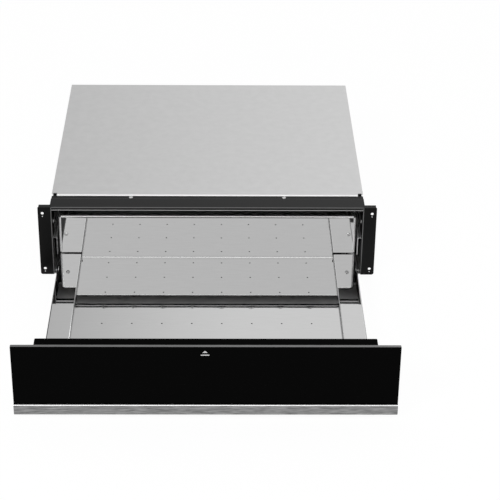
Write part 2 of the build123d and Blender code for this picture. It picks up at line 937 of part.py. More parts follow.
def make_wall_brackets():
    """Steel plates behind the back wall that tie it to the sides of the pan."""
    plate_low = ledge_top + back_wall_gap
    plate_top = wall_screw_z + wall_plate_rise
    tab_low = 2 * pan_bottom
    tab_top = ledge_top + wall_tab_rise
    tab_x = pan_half_width - tray_sheet - wall_tab_width / 2
    with BuildPart() as brackets:
        for side in (-1, 1):
            with BuildSketch(along(wall_back_y + slide_sheet)):
                with Locations((side * wall_screw_x, (plate_low + plate_top) / 2)):
                    Rectangle(wall_plate_width, plate_top - plate_low)
                with Locations((side * tab_x, (tab_low + tab_top) / 2)):
                    Rectangle(wall_tab_width, tab_top - tab_low)
            extrude(amount=slide_sheet)
        drill(wall_screws)
    save(brackets, "wall_brackets")


# ---------------------------------------------------------------- front of the drawer
def make_inner_front():
    """The black shell behind the panel that enters the frame when the drawer is shut."""
    with BuildPart() as shell:
        block(
            (-tray_half_width, panel_back_y, pan_bottom),
            (tray_half_width, inner_front_back_y, inner_front_top),
        )
        fillet(shell.edges().filter_by(Axis.Y), inner_front_corner)
        open_face = shell.faces().sort_by(Axis.Y)[0]
        offset(amount=-inner_front_sheet, openings=open_face)
    save(shell, "inner_front")


def make_carrier():
    """The steel plate that the glass is bonded to."""
    with BuildPart() as carrier:
        block(
            (-panel_width / 2 + carrier_inset, glass_back_y, strip_bottom + carrier_inset),
            (panel_width / 2 - carrier_inset, panel_back_y, panel_top - trim_thickness),
        )
    save(carrier, "front_carrier")


def make_glass():
    """The black glass, with eased front edges."""
    with BuildPart() as glass:
        block(
            (-panel_width / 2, glass_front_y, glass_bottom),
            (panel_width / 2, glass_back_y, panel_top - trim_thickness),
        )
        front_edges = glass.faces().sort_by(Axis.Y)[0].edges()
        chamfer(front_edges, glass_chamfer)
    save(glass, "front_glass")


def make_trim():
    """The bright strip along the top edge of the glass, with rounded ends."""
    with BuildPart() as trim:
        block(
            (-panel_width / 2, glass_front_y, panel_top - trim_thickness),
            (panel_width / 2, panel_back_y, panel_top),
        )
        ends = trim.edges().filter_by(Axis.Y).group_by(Axis.Z)[-1]
        fillet(ends, trim_corner)
    save(trim, "top_trim")


def make_bottom_strip():
    """The brushed channel under the glass, closed at its ends and a little proud of it."""
    half = strip_sheet / 2
    front = glass_front_y - strip_proud
    with BuildPart() as strip:
        with BuildSketch(across(-panel_width / 2)):
            with BuildLine():
                FilletPolyline(
                    (glass_back_y, glass_bottom - half),
                    (front + half, glass_bottom - half),
                    (front + half, strip_bottom + half),
                    (glass_back_y, strip_bottom + half),
                    radius=strip_sheet,
                )
            trace(line_width=strip_sheet)
        extrude(amount=panel_width)
        for side in (-1, 1):
            cap_x = sorted((side * panel_width / 2, side * (panel_width / 2 - strip_sheet)))
            block(
                (cap_x[0], front + strip_sheet, strip_bottom + half),
                (cap_x[1], glass_back_y, glass_bottom - half),
            )
        with BuildSketch(along(glass_back_y)) as outline:
            with Locations((0, (glass_bottom + strip_bottom) / 2)):
                Rectangle(panel_width, glass_bottom - strip_bottom)
            fillet(outline.vertices().group_by(Axis.Y)[0], strip_corner)
        extrude(amount=glass_back_y - front, mode=Mode.INTERSECT)
    save(strip, "bottom_strip")


def make_buffers():
    """Rubber discs on the carrier that meet the ears."""
    buffer_x = flange_width / 2 - buffer_inset
    with BuildPart() as buffers:
        with BuildSketch(along(panel_back_y + buffer_thickness)):
            with Locations((0, frame_height / 2)):
                with GridLocations(2 * buffer_x, buffer_spread, 2, 2):
                    Circle(buffer_radius)
        extrude(amount=buffer_thickness)
    save(buffers, "front_buffers")


# ---------------------------------------------------------------- push latch
def make_latch():
    """The latch body with its mouth, the hook on its pin, and the spring that lifts the hook."""
    outer_x = latch_mouth_x + latch_cheek
    pivot_plane = across(-outer_x)
    with BuildPart() as body:
        block(
            (-outer_x, bulkhead_back_y, latch_low_z),
            (outer_x, latch_rear_y, latch_high_z),
        )
        block(
            (-latch_mouth_x, bulkhead_back_y, latch_low_z + latch_wall),
            (latch_mouth_x, latch_rear_y - latch_cheek, latch_high_z - latch_wall),
            mode=Mode.SUBTRACT,
        )
        with BuildSketch(pivot_plane):
            with Locations((latch_pivot_y, latch_pivot_z)):
                Circle(latch_pin_radius)
        extrude(amount=2 * outer_x, mode=Mode.SUBTRACT)
    save(body, "latch_body")

    with BuildPart() as pin:
        with BuildSketch(pivot_plane):
            with Locations((latch_pivot_y, latch_pivot_z)):
                Circle(latch_pin_radius)
        extrude(amount=2 * outer_x)
    save(pin, "latch_pin")

    coil_radius = latch_pin_radius + clearance + spring_wire / 2
    coil_start = latch_thickness / 2 + spring_end_gap + spring_wire / 2
    coil_length = latch_mouth_x - coil_start - spring_end_gap
    with BuildPart() as spring:
        with BuildLine():
            turns = Helix(
                coil_length / spring_turns,
                coil_length,
                coil_radius,
                center=(coil_start, latch_pivot_y, latch_pivot_z),
                direction=(1, 0, 0),
            )
        with BuildSketch(Plane(origin=turns @ 0, z_dir=turns % 0)):
            Circle(spring_wire / 2)
        sweep(is_frenet=True)
    save(spring, "latch_spring")

    lift = radians(latch_angle)
    hook_plane = Plane(
        origin=(latch_thickness / 2, latch_pivot_y, latch_pivot_z),
        x_dir=(0, -cos(lift), sin(lift)),
        z_dir=(-1, 0, 0),
    )
    nose_height = hook_nose_drop + hook_arm / 2
    with BuildPart() as hook:
        with BuildSketch(hook_plane):
            Circle(latch_pin_radius + hook_boss)
            with Locations((hook_nose_end / 2, 0)):
                Rectangle(hook_nose_end, hook_arm)
            with Locations(
                ((hook_nose_start + hook_nose_end) / 2, hook_arm / 2 - nose_height / 2)
            ):
                Rectangle(hook_nose_end - hook_nose_start, nose_height)
            Circle(latch_pin_radius + bearing_clearance, mode=Mode.SUBTRACT)
        extrude(amount=latch_thickness)
    save(hook, "latch_hook")


def make_striker():
    """The bar on the back wall that the hook catches, on two legs with a mounting plate."""
    leg_x = latch_mouth_x - striker_leg_inset
    wing_x = latch_mouth_x + striker_wing
    low_z = latch_bar_z - striker_lug
    high_z = latch_bar_z + striker_lug
    with BuildPart() as striker:
        block((-wing_x, wall_back_y, low_z), (wing_x, wall_back_y + striker_plate, high_z))
        for side in (-1, 1):
            plate_x = sorted((side * leg_x, side * (leg_x + striker_leg)))
            block(
                (plate_x[0], wall_back_y, low_z),
                (plate_x[1], latch_bar_rest_y + striker_lug, high_z),
            )
        with BuildSketch(across(-leg_x - striker_leg)):
            with Locations((latch_bar_rest_y, latch_bar_z)):
                Circle(latch_bar_radius)
        extrude(amount=2 * (leg_x + striker_leg))
    save(striker, "striker")


# ---------------------------------------------------------------- warm-air unit
def make_fan_casing():
    """The scroll, the front plate and the two end plates round the cross-flow rotor."""
    half = casing_sheet / 2
    with BuildPart() as scroll:
        with BuildSketch(across(-casing_half_length)):
            with BuildLine():
                FilletPolyline(
                    (casing_rear_y - half, casing_top),
                    (casing_rear_y - half, duct_low_z + half),
                    (duct_mouth_y, duct_low_z + half),
                    radius=scroll_radius,
                )
            trace(line_width=casing_sheet)
        extrude(amount=2 * casing_half_length)
    save(scroll, "fan_scroll")

    with BuildPart() as front_plate:
        with BuildSketch(across(-casing_half_length)):
            with BuildLine():
                FilletPolyline(
                    (duct_mouth_y, duct_roof - half),
                    (casing_front_y + half, duct_roof - half),
                    (casing_front_y + half, casing_top),
                    radius=casing_sheet,
                )
            trace(line_width=casing_sheet)
        extrude(amount=2 * casing_half_length)
    save(front_plate, "fan_front_plate")

    for name, side in SIDES:
        with BuildPart() as end_plate:
            with BuildSketch(across(side * casing_half_length)):
                with Locations(
                    ((casing_front_y + casing_rear_y) / 2, (duct_low_z + casing_top) / 2)
                ):
                    Rectangle(casing_rear_y - casing_front_y, casing_top - duct_low_z)
                with Locations(
                    ((duct_mouth_y + casing_front_y) / 2, (duct_low_z + duct_roof) / 2)
                ):
                    Rectangle(casing_front_y - duct_mouth_y, duct_roof - duct_low_z)
                with Locations((fan_y, fan_z)):
                    Circle(bearing_radius, mode=Mode.SUBTRACT)
                if side > 0:
                    with Locations(*[(y, duct_middle_z) for y in heater_rod_places]):
                        Circle(heater_radius + clearance, mode=Mode.SUBTRACT)
            extrude(amount=side * end_plate_sheet)
        save(end_plate, f"{name}_fan_end_plate")

    with BuildPart() as bearings:
        for side in (-1, 1):
            with BuildSketch(across(side * casing_half_length)):
                with Locations((fan_y, fan_z)):
                    Circle(bearing_radius)
                    Circle(fan_shaft_radius + bearing_clearance, mode=Mode.SUBTRACT)
            extrude(amount=side * bearing_length)
    save(bearings, "fan_bearings")


def make_fan_rotor():
    """The cross-flow rotor: three discs, a ring of curved blades and the shaft."""
    with BuildSketch() as blade:
        with BuildLine():
            RadiusArc((-blade_width / 2, 0), (blade_width / 2, 0), blade_bend)
        trace(line_width=blade_sheet)
    with BuildPart() as rotor:
        with BuildSketch(across(-fan_half_length)):
            with Locations((fan_y, fan_z)):
                with PolarLocations(fan_radius - blade_width / 2, fan_blades):
                    add(blade.sketch, rotation=blade_lean)
        extrude(amount=2 * fan_half_length)
        for x in (-fan_half_length, -fan_disc / 2, fan_half_length - fan_disc):
            with BuildSketch(across(x)):
                with Locations((fan_y, fan_z)):
                    Circle(fan_radius)
            extrude(amount=fan_disc)
    save(rotor, "fan_rotor")

    with BuildPart() as shaft:
        with BuildSketch(across(-casing_half_length - bearing_length)):
            with Locations((fan_y, fan_z)):
                Circle(fan_shaft_radius)
        extrude(amount=casing_half_length + bearing_length - fan_half_length)
        with BuildSketch(across(fan_half_length)):
            with Locations((fan_y, fan_z)):
                Circle(fan_shaft_radius)
        extrude(amount=motor_start_x + motor_stack + motor_shaft_end - fan_half_length)
    save(shaft, "fan_shaft")

    with BuildPart() as core:
        with BuildSketch(across(motor_start_x)):
            with Locations((fan_y, fan_z)):
                Circle(motor_rotor_radius)
                Circle(fan_shaft_radius, mode=Mode.SUBTRACT)
        extrude(amount=motor_stack)
    save(core, "motor_core")


def make_motor():
    """The shaded-pole motor: a laminated stack with its coil, on four pillars."""
    pillar_start_x = casing_half_length + end_plate_sheet
    pillar_spread = 2 * (motor_half_width - motor_pillar_inset)
    pillar_rise = 2 * (motor_half_height - motor_pillar_inset)
    coil_low = fan_z + motor_half_height
    with BuildPart() as stack:
        with BuildSketch(across(motor_start_x)):
            with Locations((fan_y, fan_z)):
                Rectangle(2 * motor_half_width, 2 * motor_half_height)
                Circle(motor_rotor_radius + motor_gap, mode=Mode.SUBTRACT)
        extrude(amount=motor_stack)
        with BuildSketch(across(pillar_start_x)):
            with Locations((fan_y, fan_z)):
                with GridLocations(pillar_spread, pillar_rise, 2, 2):
                    Circle(motor_pillar_radius)
        extrude(amount=motor_start_x - pillar_start_x)
    save(stack, "motor_stack")

    with BuildPart() as coil:
        block(
            (motor_start_x - coil_overhang, fan_y - coil_half_width, coil_low),
            (motor_start_x + motor_stack + coil_overhang, fan_y + coil_half_width, coil_low + coil_height),
        )
        fillet(coil.edges().filter_by(Axis.Y), coil_corner)
    save(coil, "motor_coil")


def make_heater():
    """The tubular heating element: a hairpin that lies across the outlet duct."""
    far_x = -casing_half_length + heater_end_gap
    near_x = casing_half_length + heater_terminal
    front_rod, rear_rod = heater_rod_places
    turn_radius = (rear_rod - front_rod) / 2
    with BuildPart() as heater:
        with BuildLine():
            away = Line((near_x, front_rod, duct_middle_z), (far_x, front_rod, duct_middle_z))
            turn = ThreePointArc(
                away @ 1,
                (far_x - turn_radius, front_rod + turn_radius, duct_middle_z),
                (far_x, rear_rod, duct_middle_z),
            )
            Line(turn @ 1, (near_x, rear_rod, duct_middle_z))
        with BuildSketch(across(near_x)):
            with Locations((front_rod, duct_middle_z)):
                Circle(heater_radius)
        sweep()
    save(heater, "heating_element")


def make_thermal_cutout():
    """A disc thermostat on the front plate of the fan casing."""
    middle = (cutout_x, fan_z + cutout_rise)
    with BuildPart() as cutout:
        with BuildSketch(along(casing_front_y)):
            with Locations(middle):
                Circle(cutout_radius)
        extrude(amount=cutout_thickness)
        with BuildSketch(along(casing_front_y - cutout_thickness)):
            with Locations(middle):
                with GridLocations(cutout_radius, 0, 2, 1):
                    Rectangle(cutout_tab_width, cutout_tab_height)
        extrude(amount=cutout_tab_length)
    save(cutout, "thermal_cutout")


# ---------------------------------------------------------------- electrics
def make_control_box():
    """The plastic box with the control board, and its lid."""
    low, high = board_box_low, board_box_high
    wall = board_box_wall
    with BuildPart() as box:
        block(low, high)
        block(
            (low[0] + wall, low[1] + wall, low[2] + wall),
            (high[0] - wall, high[1] - wall, high[2]),
            mode=Mode.SUBTRACT,
        )
    save(box, "control_box")

    with BuildPart() as lid:
        block((low[0], low[1], high[2]), (high[0], high[1], high[2] + wall))
        with BuildSketch(Plane.XY.offset(high[2])):
            with Locations(((low[0] + high[0]) / 2, (low[1] + high[1]) / 2)):
                with GridLocations(box_vent_spacing, 0, box_vent_count, 1):
                    SlotOverall(box_vent_length, box_vent_width, rotation=90)
        extrude(amount=wall, mode=Mode.SUBTRACT)
    save(lid, "control_box_lid")

    edge = wall + board_gap
    board_z = low[2] + wall + board_rise
    parts_z = board_z + board_sheet
    relay_low = (low[0] + edge + board_part_gap, low[1] + edge + board_part_gap, parts_z)
    supply_low = (relay_low[0] + relay_length + board_part_gap, relay_low[1], parts_z)
    post_spread = (
        high[0] - low[0] - 2 * board_post_inset,
        high[1] - low[1] - 2 * board_post_inset,
    )
    with BuildPart() as board:
        block(
            (low[0] + edge, low[1] + edge, board_z),
            (high[0] - edge, high[1] - edge, parts_z),
        )
        with Locations(
            ((low[0] + high[0]) / 2, (low[1] + high[1]) / 2, board_z - board_rise / 2)
        ):
            with GridLocations(*post_spread, 2, 2):
                Box(board_post, board_post, board_rise)
        for corner, size in (
            (relay_low, (relay_length, relay_width, relay_height)),
            (supply_low, (supply_length, supply_width, supply_height)),
        ):
            block(corner, [place + length for place, length in zip(corner, size)])
    save(board, "control_board")


def make_mains_connection():
    """The terminal block, and the gland in the rear panel where a mains lead would enter."""
    terminal_y = rear_y - terminal_rear_gap
    terminal_top = base_top + terminal_height
    with BuildPart() as terminals:
        block(
            (gland_x - terminal_half_width, terminal_y - terminal_half_depth, base_top),
            (gland_x + terminal_half_width, terminal_y + terminal_half_depth, terminal_top),
        )
        with Locations((gland_x, terminal_y, terminal_top)):
            with GridLocations(terminal_spacing, 0, 3, 1):
                Hole(terminal_hole_radius, depth=terminal_hole_depth)
    save(terminals, "terminal_block")

    panel_back = rear_y - housing_sheet
    gland_back = panel_back + gland_head
    inner_end = panel_back - housing_sheet - gland_tail
    with BuildPart() as gland:
        with BuildSketch(along(gland_back)):
            with Locations((gland_x, gland_z)):
                Circle(gland_hole_radius + gland_flange)
        extrude(amount=gland_head)
        with BuildSketch(along(panel_back)):
            with Locations((gland_x, gland_z)):
                Circle(gland_hole_radius - screw_clearance)
        extrude(amount=panel_back - inner_end)
        with BuildSketch(along(panel_back - housing_sheet)):
            with Locations((gland_x, gland_z)):
                RegularPolygon(gland_hole_radius + gland_flange, 6)
        extrude(amount=gland_head)
        fillet(gland.edges().group_by(Axis.Y)[-1], gland_corner)
        with BuildSketch(along(gland_back)):
            with Locations((gland_x, gland_z)):
                Circle(gland_bore_radius)
        extrude(amount=gland_back - inner_end, mode=Mode.SUBTRACT)
    save(gland, "cable_gland")


# ---------------------------------------------------------------- screws
def make_screws():
    """Domed screws in two groups: those of the housing, and those of the drawer."""
    dome = (screw_head_radius**2 + screw_head_height**2) / (2 * screw_head_height)
    with BuildPart() as screw:
        with BuildSketch(Plane.XZ):
            with BuildLine():
                Polyline(
                    (0, screw_head_height),
                    (0, -screw_length),
                    (screw_radius, -screw_length),
                    (screw_radius, 0),
                    (screw_head_radius, 0),
                )
                RadiusArc((0, screw_head_height), (screw_head_radius, 0), dome)
            make_face()
        revolve(axis=Axis.Z)
    housing_seats = (
        cover_front_screws + cover_side_screws + cover_rear_screws + ear_screws + bracket_screws
    )
    for name, seats in (("housing_screws", housing_seats), ("drawer_screws", wall_screws)):
        with BuildPart() as group:
            with Locations(*seat_planes(seats)):
                add(screw.part)
        save(group, name)


make_base()
make_side_panels()
make_rear_panel()
make_top_cover()
make_cross_member()
make_bulkhead()
make_front_rail()
make_ears()
make_slide_brackets()
make_slides()
make_ball_cages()
make_pan()
make_floor()
make_floor_ribs()
make_ledges()
make_back_wall()
make_wall_brackets()
make_inner_front()
make_carrier()
make_glass()
make_trim()
make_bottom_strip()
make_buffers()
make_latch()
make_striker()
make_fan_casing()
make_fan_rotor()
make_motor()
make_heater()
make_thermal_cutout()
make_control_box()
make_mains_connection()
make_screws()
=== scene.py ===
"""The looks of a built-in warming drawer, shown open.

Metres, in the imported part's own frame: +X right, +Y back, +Z up, with Z = 0 under the housing.
"""
import json
from math import cos, pi, sin

import bmesh
import bpy
from mathutils import Matrix, Vector


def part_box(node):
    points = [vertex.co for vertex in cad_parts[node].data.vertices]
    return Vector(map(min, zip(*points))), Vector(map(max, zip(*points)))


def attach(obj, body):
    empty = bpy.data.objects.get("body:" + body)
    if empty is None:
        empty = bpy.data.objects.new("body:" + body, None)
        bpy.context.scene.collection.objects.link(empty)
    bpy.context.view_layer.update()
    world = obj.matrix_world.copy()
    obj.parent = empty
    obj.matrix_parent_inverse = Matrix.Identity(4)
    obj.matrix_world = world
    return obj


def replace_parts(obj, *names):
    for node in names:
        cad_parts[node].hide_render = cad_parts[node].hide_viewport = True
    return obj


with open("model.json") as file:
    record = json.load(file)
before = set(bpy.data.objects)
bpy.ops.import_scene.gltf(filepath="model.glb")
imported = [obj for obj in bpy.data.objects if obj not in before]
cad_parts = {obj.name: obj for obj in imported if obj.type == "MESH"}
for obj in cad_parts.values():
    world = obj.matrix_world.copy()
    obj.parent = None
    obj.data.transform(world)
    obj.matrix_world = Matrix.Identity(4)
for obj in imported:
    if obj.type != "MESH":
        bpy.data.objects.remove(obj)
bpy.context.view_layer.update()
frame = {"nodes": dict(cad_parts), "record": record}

# ---------------------------------------------------------------- camera
IMAGE_WIDTH_PX = 500.0
FOCAL_LENGTH_PX = 1663.33
VIEW_CENTRE_X_PX = 234.21
SENSOR_WIDTH_MM = 36.0
CAMERA_PLACE = Vector((0.014569, -2.80652, 1.51602))
CAMERA_PITCH = 0.522116
CAMERA_YAW = 0.0128525
CAMERA_ROLL = 0.00832629
VIEW_DEPTH = 50.0

# ---------------------------------------------------------------- surround, floor and cards
WORLD_LEVEL = 0.5
# Reflections find the surround dimmer towards the back on the left: over each of these stretches
# of a ray's direction the dimming grows to its full share.
DIM_SHARE = 0.36
DIM_LEFT = (-0.14, 0.03)
DIM_BACK = (0.0, 0.3)
FLOOR_HALF = 12.0
FLOOR_DROP = 0.0004
FLOOR_COLOUR = 0.82
# Where the floor is seen as background, this share of it glows at this strength.
FLOOR_SHARE = 0.9
FLOOR_GLOW = 1.05
# Dark cards that show only in reflections, as painted dark reflections beside the drawer.
CARD_COLOUR = 0.09
CARD_ROUGHNESS = 0.9
CARD_HEIGHT = 0.002
CARDS = (
    ("left_card", (-0.298, -0.5), (-0.262, -0.28)),
    ("right_card", (0.262, -0.5), (0.298, -0.415)),
)

# ---------------------------------------------------------------- lamps
SOFTBOX_TARGET = Vector((0.0, -0.2, 0.06))
SOFTBOX_DISTANCE = 4.2
SOFTBOX_SIZE = 3.0
SOFTBOX_RADIANCE = 0.7
# Name, place, target, width, height and radiance.
LAMPS = (
    ("back_softbox", (2.2, 3.4, 2.2), (0.0, 0.0, 0.1), 1.6, 1.4, 1.4),
    ("key", (-2.0, -3.0, 2.6), (0.0, -0.3, 0.1), 1.0, 1.0, 7.0),
    ("high_strip", (0.0, -3.2, 3.23), (0.0, -0.24, 0.11), 2.4, 0.55, 2.0),
)

# ---------------------------------------------------------------- masks
# A surface that faces along an axis has a flatness of 1, and a bend has less. A bend starts to
# count at the first flatness, and counts in full at the second.
ALL_BENDS = (0.97, 0.72)
WIDE_BENDS = (0.997, 0.93)
# How far a surface leans along X to be on a side, and along Z to be on the lower side.
SIDE_LEAN = 0.05
LOWER_LEAN = -0.1
# Over this stretch of its lean, a surface comes to face along an axis.
FACING = (0.7, 0.9)

# ---------------------------------------------------------------- skins
# A pattern is the scale and the detail of a noise, and a bump is its strength and its height.
# A mottle and a spread are shares by which the colour and the roughness vary.
NOISE_SPAN = (0.3, 0.7)
ZINC_CLOUDS = (60.0, 3.0)
ZINC_MOTTLE = 0.03
ZINC_SPREAD = 0.07
ZINC_METAL = 0.75
SKIN_PASS = (1600.0, 2.0)
SKIN_PASS_BUMP = (0.15, 0.00002)
SCREW_CLOUDS = (300.0, 3.0)
STREAKS = (60.0, 6.0)
STREAK_MOTTLE = 0.16
STREAK_SPREAD = 0.15
STREAK_BUMP = (0.3, 0.00004)
# How much lighter than its grey brushed steel is painted along its bends, as a highlight.
BRUSHED_HIGHLIGHT_GAIN = 1.7
ORANGE_PEEL = (1400.0, 3.0)
FINE_PEEL = (600.0, 3.0)
GLASS_WAVE = (4.0, 3.0)
PAINT_MOTTLE = 0.1
PAINT_SPREAD = 0.1
PAINT_BUMP = (0.25, 0.00003)
GLASS_BUMP = (0.25, 0.0002)
MOULD_CLOUDS = (70.0, 3.0)
MOULD_MOTTLE = 0.15
MOULD_SPREAD = 0.1
MOULD_GRAIN = (900.0, 2.0)
MOULD_BUMP = (0.3, 0.00004)

# ---------------------------------------------------------------- polished steel
MIRROR_ROUGHNESS = (0.024, 0.0375)
MIRROR_HAZE = (9.0, 2.0)
HAZE_HEIGHT = 0.00005
POLISH_GRAIN = (40.0, 4.0)
POLISH_STRETCH = (1, 12, 12)
POLISH_MOTTLE = 0.015
# The grey of the painted highlight along the bends, and how much of a metal they are.
STEEL_BEND_HIGHLIGHT = 0.95
BEND_HIGHLIGHT_METAL = 0.85
WALL_BEND_HIGHLIGHT_METAL = 0.15
# The grey of painted shade on the step between a ledge and the floor.
STEP_SHADE_LEVEL = 0.06
# A bow is the axis and the stretch along which a sheet rises, and by how much.
FLOOR_BOW = ("Y", -0.482, -0.366, 0.0022)
LEDGE_BOW = ("Y", -0.459, -0.339, 0.0009)
WALL_BOW = ("Z", 0.1056, 0.1086, -0.00034)
# The floor's air holes: their spacing, and how far the back row is from the floor's back edge.
HOLE_SPACING = 0.05
HOLE_EDGE_GAP = 0.02
DIP_RADIUS = 0.009
DIP_DEPTH = 0.00003

# ---------------------------------------------------------------- zinc, paint and trim
# The grey of the painted highlight along the bends of zinc sheet.
ZINC_BEND_HIGHLIGHT = 0.74
PAINT_ROUGHNESS = 0.36
# The grey of the painted highlight along the bends of black paint.
PAINT_BEND_HIGHLIGHT = 0.22
# Painted light on the rail's face and a painted highlight on its lower bend, for light from the
# tray.
RAIL_FACE_PAINTED_LIGHT = 0.028
RAIL_LOWER_BEND_HIGHLIGHT = 0.9
TRIM_LEVEL = 0.25
TRIM_ROUGHNESS = 0.36
TRIM_STRETCH = (1, 14, 14)
# Painted shade that turns the trim's front face black.
TRIM_FRONT_SHADE = 0.002
# Painted highlights on the strip's bends and top, whose top is made less metallic.
STRIP_BEND_HIGHLIGHT = 0.85
STRIP_TOP_HIGHLIGHT = 0.75
STRIP_TOP_HIGHLIGHT_METAL = 0.3
# Over this stretch behind its front, the strip's top turns dark with painted shade where it meets
# the glass.
STRIP_SHADOW_FADE = (0.0016, 0.0026)
# The grey of that painted shade.
STRIP_SHADOW_LEVEL = 0.004

# ---------------------------------------------------------------- screws and the press mark
WELD_DISTANCE = 1e-6
# How far the seat of a plain screw is from its middle, towards its head.
SCREW_SEAT = 0.001
# Radius and height, from the foot of the shank to the crown of the head.
SCREW_PROFILE = (
    (0.0016, -0.004), (0.0016, 0.0), (0.0035, 0.0), (0.00348, 0.0004), (0.0032, 0.0009),
    (0.0026, 0.00145), (0.0018, 0.00182), (0.0009, 0.00196), (0.0, 0.002),
)
SCREW_SIDES = 28
RECESS_WIDTH = 0.0009
RECESS_LENGTH = 0.0038
RECESS_DEPTH = 0.0013
RECESS_TAPER = 0.45
# Each screw of a group is turned this much further than the one before it, in radians.
SCREW_TURN = 0.7
MARK_X = -0.0013
MARK_THICKNESS = 0.00006
# The corners of the mark, across and up.
TRIANGLE = ((-0.0041, 0.1193), (0.0041, 0.1193), (0.0, 0.1229))
BAR = ((-0.0066, 0.1144), (0.0066, 0.1144), (0.0066, 0.1161), (-0.0066, 0.1161))


def make_camera():
    """The photograph's camera: looking down at the front, turned and rolled by under a degree."""
    forward = Vector((
        sin(CAMERA_YAW) * cos(CAMERA_PITCH),
        cos(CAMERA_YAW) * cos(CAMERA_PITCH),
        -sin(CAMERA_PITCH),
    ))
    level_right = Vector((cos(CAMERA_YAW), -sin(CAMERA_YAW), 0.0))
    level_up = level_right.cross(forward)
    right = level_right * cos(CAMERA_ROLL) + level_up * sin(CAMERA_ROLL)
    up = level_up * cos(CAMERA_ROLL) - level_right * sin(CAMERA_ROLL)
    lens = bpy.data.cameras.new("camera")
    lens.sensor_width = SENSOR_WIDTH_MM
    lens.lens = FOCAL_LENGTH_PX * SENSOR_WIDTH_MM / IMAGE_WIDTH_PX
    lens.shift_x = (IMAGE_WIDTH_PX / 2 - VIEW_CENTRE_X_PX) / IMAGE_WIDTH_PX
    lens.clip_end = VIEW_DEPTH
    camera = bpy.data.objects.new("camera", lens)
    turn = Matrix((right, up, -forward)).transposed().to_4x4()
    camera.matrix_world = Matrix.Translation(CAMERA_PLACE) @ turn
    bpy.context.scene.collection.objects.link(camera)
    bpy.context.scene.camera = camera


# ---------------------------------------------------------------- helpers for shaders
def grey(level):
    """A colour of three equal parts."""
    return (level, level, level)


def around(value, share):
    """A value lowered and raised by a share of itself."""
    return value * (1 - share), value * (1 + share)


def math_node(tree, operation, *values):
    """A math node of up to three values, each a socket or a number."""
    node = tree.nodes.new("ShaderNodeMath")
    node.operation = operation
    for socket, value in zip(node.inputs, values):
        if isinstance(value, (int, float)):
            socket.default_value = value
        else:
            tree.links.new(value, socket)
    return node.outputs[0]


def map_value(tree, value, start, end, low, high, smooth=False):
    """A change of a value from one stretch to another, held at both of its ends."""
    node = tree.nodes.new("ShaderNodeMapRange")
    if smooth:
        node.interpolation_type = "SMOOTHSTEP"
    for name, limit in (("From Min", start), ("From Max", end), ("To Min", low), ("To Max", high)):
        node.inputs[name].default_value = limit
    tree.links.new(value, node.inputs["Value"])
    return node.outputs["Result"]


def smooth_step(tree, value, start, end, low=0.0, high=1.0):
    """A smooth change of a value between two places."""
    return map_value(tree, value, start, end, low, high, smooth=True)


def place_axes(tree, kind="Object"):
    """The three parts of a coordinate: the place in the part's own frame, or another kind."""
    place = tree.nodes.new("ShaderNodeTexCoord")
    axes = tree.nodes.new("ShaderNodeSeparateXYZ")
    tree.links.new(place.outputs[kind], axes.inputs["Vector"])
    return axes.outputs


def normal_axes(tree):
    """The three parts of the surface's own direction."""
    geometry = tree.nodes.new("ShaderNodeNewGeometry")
    axes = tree.nodes.new("ShaderNodeSeparateXYZ")
    tree.links.new(geometry.outputs["True Normal"], axes.inputs["Vector"])
    return axes.outputs


def seen_mask(tree):
    """One for rays that show the background: from the camera, a gloss or a clear material."""
    path = tree.nodes.new("ShaderNodeLightPath").outputs
    mask = path["Is Camera Ray"]
    for name in ("Is Glossy Ray", "Is Transmission Ray"):
        mask = math_node(tree, "MAXIMUM", mask, path[name])
    return mask


# ---------------------------------------------------------------- studio
def make_world():
    """A white surround that lights at a softer level than it shows, and is dimmed for a gloss."""
    world = bpy.data.worlds.new("studio")
    world.use_nodes = True
    tree = world.node_tree
    background = tree.nodes["Background"]
    background.inputs["Color"].default_value = (1, 1, 1, 1)
    level = map_value(tree, seen_mask(tree), 0.0, 1.0, WORLD_LEVEL, 1.0)
    axes = place_axes(tree, "Generated")
    leftward = smooth_step(tree, axes["X"], *DIM_LEFT, DIM_SHARE, 0.0)
    rearward = smooth_step(tree, axes["Y"], *DIM_BACK)
    reflected = tree.nodes.new("ShaderNodeLightPath").outputs["Is Glossy Ray"]
    dimming = math_node(tree, "MULTIPLY", leftward, rearward)
    dimming = math_node(tree, "MULTIPLY", dimming, reflected)
    strength = math_node(tree, "SUBTRACT", level, dimming)
    tree.links.new(strength, background.inputs["Strength"])
    bpy.context.scene.world = world


def flat_sheet(name, low, high, height, material):
    """A flat rectangle between two corners, at a height."""
    (left, front), (right, back) = low, high
    corners = [(left, front, 0), (right, front, 0), (right, back, 0), (left, back, 0)]
    mesh = bpy.data.meshes.new(name)
    mesh.from_pydata(corners, [], [(0, 1, 2, 3)])
    mesh.materials.append(material)
    sheet = bpy.data.objects.new(name, mesh)
    sheet.location.z = height
    bpy.context.scene.collection.objects.link(sheet)
    return sheet


def floor_paper():
    """Matt white that takes a shadow, and mostly glows where it is seen as background."""
    paper = bpy.data.materials.new("floor_paper")
    paper.use_nodes = True
    tree = paper.node_tree
    tree.nodes.clear()
    matt = tree.nodes.new("ShaderNodeBsdfDiffuse")
    matt.inputs["Color"].default_value = (*grey(FLOOR_COLOUR), 1)
    glow = tree.nodes.new("ShaderNodeEmission")
    glow.inputs["Strength"].default_value = FLOOR_GLOW
    mix = tree.nodes.new("ShaderNodeMixShader")
    output = tree.nodes.new("ShaderNodeOutputMaterial")
    tree.links.new(math_node(tree, "MULTIPLY", seen_mask(tree), FLOOR_SHARE), mix.inputs["Fac"])
    tree.links.new(matt.outputs[0], mix.inputs[1])
    tree.links.new(glow.outputs[0], mix.inputs[2])
    tree.links.new(mix.outputs[0], output.inputs["Surface"])
    return paper


